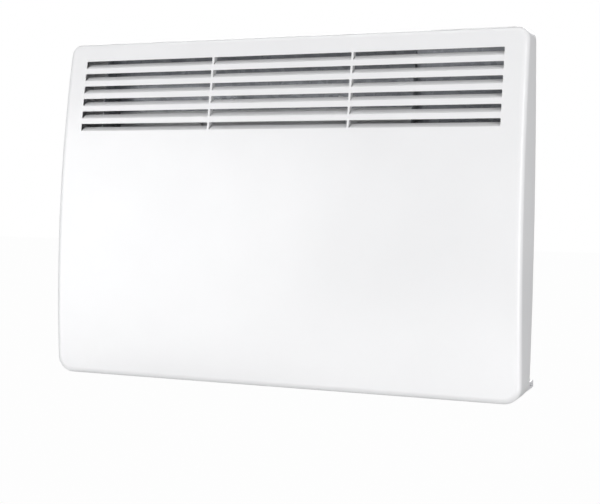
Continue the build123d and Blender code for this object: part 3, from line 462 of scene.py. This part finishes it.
def bead_share(along):
    """A bead's share of its full width, along running from -1 to 1 between its tips."""
    edge = BEAD_HALF_LENGTH * (1 - abs(along))
    round_end = math.sqrt(max(0.0, 1 - max(0.0, 1 - edge / BEAD_HALF_WIDTH) ** 2))
    return max(round_end, BEAD_TIP_SHARE)


def make_beads():
    """Stiffening beads pressed outwards in the rear panel, between the two baffles."""
    middle = (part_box("left_baffle")[0].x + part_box("right_baffle")[1].x) / 2
    for number, z in enumerate(BEAD_LEVELS):
        bm = bmesh.new()
        rings = []
        for i in range(BEAD_LONG_STEPS + 1):
            along = -math.cos(math.pi * i / BEAD_LONG_STEPS)
            x = middle + BEAD_HALF_LENGTH * along
            share = bead_share(along)
            top, foot = [], []
            for j in range(BEAD_CROSS_STEPS + 1):
                across = 2 * j / BEAD_CROSS_STEPS - 1
                point, normal = on_rear_panel(x, z + across * BEAD_HALF_WIDTH * share)
                rise = BEAD_RISE * share * (0.5 + 0.5 * math.cos(math.pi * across))
                top.append(bm.verts.new(point + normal * (rise - BEAD_EDGE_SINK)))
                foot.append(bm.verts.new(point - normal * BEAD_SINK))
            rings.append(top + foot[::-1])
        join_rings(bm, rings)
        new_piece(f"panel_bead_{number + 1}", bm, "painted_rear", "heater")


PLATE_SIZE = (0.072, 0.036, 0.0006)
PLATE_PLACE = (-0.075, 0.205)
PLATE_CORNER = 0.003
RIVET_RADIUS = 0.0013
RIVET_FLATNESS = 0.5
RIVET_INSET = 0.004
RIVET_SEGMENTS = 20
RIVET_RINGS = 12


def make_rating_plate():
    """A blank rating plate riveted to the rear panel."""
    length, _, thickness = PLATE_SIZE
    point, normal = on_rear_panel(*PLATE_PLACE)
    place = Matrix.Translation(point + normal * thickness / 2) @ Matrix.Rotation(-math.pi / 2, 4, "X")
    bm = bmesh.new()
    add_bar(bm, place, PLATE_SIZE, PLATE_CORNER)
    new_piece("rating_plate", bm, "element_aluminium", "heater", smooth=False)
    bm = bmesh.new()
    flatten = Matrix.Diagonal((1, 1, RIVET_FLATNESS, 1))
    for side in (-1, 1):
        offset = Matrix.Translation((side * (length / 2 - RIVET_INSET), 0, thickness / 2))
        bmesh.ops.create_uvsphere(
            bm,
            u_segments=RIVET_SEGMENTS,
            v_segments=RIVET_RINGS,
            radius=RIVET_RADIUS,
            matrix=place @ offset @ flatten,
        )
    new_piece("rating_plate_rivets", bm, "zinc_steel", "heater")


TICK_SIZE = (0.0026, 0.0006, 0.0003)
TICK_RADIUS = 0.0112
TICK_STEP = math.radians(13)
TICK_COUNT = 5
POINTER_WIDTH = 0.0009
POINTER_HEIGHT = 0.0004
POINTER_DROP = 0.00035  # from the dial's top to the pointer's middle
POINTER_LENGTH_SHARE = 0.8  # of the dial's radius
POINTER_PLACE_SHARE = 0.5  # of the dial's radius, to the pointer's middle


def make_dial_marks():
    """Scale marks on the recess floor at both sides of the dial, and the dial's pointer line."""
    knob_low, knob_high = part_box("thermostat_knob")
    centre = (knob_low + knob_high) / 2
    floor_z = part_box("thermostat_nut")[0].z
    middle = Matrix.Translation((centre.x, centre.y, floor_z + TICK_SIZE[2] / 2))
    outward = Matrix.Translation((TICK_RADIUS, 0, 0))
    bm = bmesh.new()
    for side in (0, math.pi):
        for tick in range(TICK_COUNT):
            angle = side + (tick - (TICK_COUNT - 1) / 2) * TICK_STEP
            place = middle @ Matrix.Rotation(angle, 4, "Z") @ outward
            add_bar(bm, place, TICK_SIZE, TICK_SIZE[1] / 2)
    new_piece("dial_ticks", bm, "grey_plastic", "heater", smooth=False)
    radius = (knob_high.y - knob_low.y) / 2
    bm = bmesh.new()
    size = (POINTER_WIDTH, radius * POINTER_LENGTH_SHARE, POINTER_HEIGHT)
    y = centre.y - radius * POINTER_PLACE_SHARE
    place = Matrix.Translation((centre.x, y, knob_high.z - POINTER_DROP))
    add_bar(bm, place, size, POINTER_WIDTH / 2)
    new_piece("dial_pointer", bm, "grey_plastic", "thermostat_dial", smooth=False)


MARK_REACH = 0.0045
MARK_RISE = 0.000024
MARK_BAR = (0.0005, 0.0032, 0.00030)
MARK_RING = 0.0015
MARK_RING_STEPS = 32
MARK_LINE = 0.00026
ABOVE_ROCKER = 0.01


def make_rocker_marks():
    """The on and off marks on the two faces of the rocker."""
    rocker_surface = surface("switch_rocker")
    low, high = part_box("switch_rocker")
    centre = (low + high) / 2
    bm = bmesh.new()
    for side in (-1, 1):
        start = Vector((centre.x + side * MARK_REACH, centre.y, high.z + ABOVE_ROCKER))
        point, normal, _, _ = rocker_surface.ray_cast(start, Vector((0, 0, -1)))
        lean = Matrix.Rotation(math.atan2(normal.x, normal.z), 4, "Y")
        place = Matrix.Translation(point + normal * MARK_RISE) @ lean
        if side < 0:
            add_bar(bm, place, MARK_BAR, MARK_BAR[0] / 2)
        else:
            turn = place.to_3x3()
            ring = circle(place.translation, turn.col[0], turn.col[1], MARK_RING, MARK_RING_STEPS)
            add_tube(bm, ring, MARK_LINE, closed=True)
    new_piece("rocker_marks", bm, "grey_plastic", "power_rocker")


CLIP_DROP = 0.0802  # below the casing's top
CLIP_RADIUS = 0.0009
CLIP_STEPS = 8
# millimetres inwards, back and up from the rib's rear edge
CLIP_SHAPE = (
    (0.4, 3.0, 1.2),
    (5.0, 3.4, 2.2),
    (9.5, 4.2, -0.6),
    (14.0, 3.6, -1.4),
    (19.0, 2.6, 1.6),
    (24.0, 3.2, 2.4),
)


def make_spring_clips():
    """Bent wire clips on the ribs behind the fourth row of louvres."""
    for side, name in ((1, "left"), (-1, "right")):
        low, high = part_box(f"grille_rib_{name}")
        start = Vector(((low.x + high.x) / 2, high.y, case_high.z - CLIP_DROP))
        points = [start + Vector((side * x, y, z)) * MM for x, y, z in CLIP_SHAPE]
        bm = bmesh.new()
        add_tube(bm, smooth_path(points, CLIP_STEPS), CLIP_RADIUS)
        new_piece(f"spring_clip_{name}", bm, "zinc_steel", "heater")


# distance along the gland, and radius
GLAND_RINGS = ((0.0048, 0.00965), (0.0072, 0.0091), (0.0096, 0.0085))
GLAND_RING_RADIUS = 0.0005
GLAND_RING_STEPS = 48


def make_gland_rings():
    """Grip rings around the cable gland's nose."""
    mount = next(item for item in frame["record"]["mounts"] if item["name"] == "cable_entry")
    axis = Vector(mount["axis"]).normalized()
    base = Vector(mount["pos_m"])
    side = axis.orthogonal().normalized()
    bm = bmesh.new()
    for along, radius in GLAND_RINGS:
        ring = circle(base + axis * along, side, axis.cross(side), radius, GLAND_RING_STEPS)
        add_tube(bm, ring, GLAND_RING_RADIUS, closed=True)
    new_piece("gland_rings", bm, "grey_plastic", "heater")


RIDGE_SIZE = (0.0012, 0.0075, 0.0010)
RIDGE_INSET = 0.005
RIDGE_PITCH = 0.0026
RIDGE_COUNT = 5
RIDGE_SEAT_SHARE = 0.3  # of a ridge's height, from the lever to its middle


def make_lock_ridges():
    """Finger ridges across the end of each lock's lever."""
    for side, name in ((-1, "left"), (1, "right")):
        low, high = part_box(f"lock_{name}")
        end_x = high.x if side < 0 else low.x
        y = high.y + RIDGE_SIZE[2] * RIDGE_SEAT_SHARE
        bm = bmesh.new()
        for ridge in range(RIDGE_COUNT):
            x = end_x + side * (RIDGE_INSET + ridge * RIDGE_PITCH)
            place = Matrix.Translation((x, y, (low.z + high.z) / 2))
            add_bar(bm, place @ Matrix.Rotation(-math.pi / 2, 4, "X"), RIDGE_SIZE, RIDGE_SIZE[0] / 2)
        new_piece(f"lock_ridges_{name}", bm, "grey_plastic", f"{name}_lock", smooth=False)


SHIELD_GAP = 0.002  # before the thermostat's body
SHIELD_THICKNESS = 0.001
SHIELD_BAFFLE_GAP = 0.0015  # from the baffle's inner face
SHIELD_SIDE_GAP = 0.011
SHIELD_LOW = 0.124
SHIELD_CORNER = 0.004


def make_control_shield():
    """A plate before the controls and their leads, from the right-hand baffle towards the casing's side."""
    baffle_low, baffle_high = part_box("right_baffle")
    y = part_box("thermostat_body")[0].y - SHIELD_GAP - SHIELD_THICKNESS / 2
    left = baffle_low.x + SHIELD_BAFFLE_GAP
    right = case_high.x - SHIELD_SIDE_GAP
    size = (right - left, baffle_high.z - SHIELD_LOW, SHIELD_THICKNESS)
    place = Matrix.Translation(((left + right) / 2, y, (SHIELD_LOW + baffle_high.z) / 2))
    bm = bmesh.new()
    add_bar(bm, place @ Matrix.Rotation(math.pi / 2, 4, "X"), size, SHIELD_CORNER)
    new_piece("control_shield", bm, "galvanised", "heater", smooth=False)


make_beads()
make_rating_plate()
make_dial_marks()
make_rocker_marks()
make_spring_clips()
make_gland_rings()
make_lock_ridges()
make_control_shield()
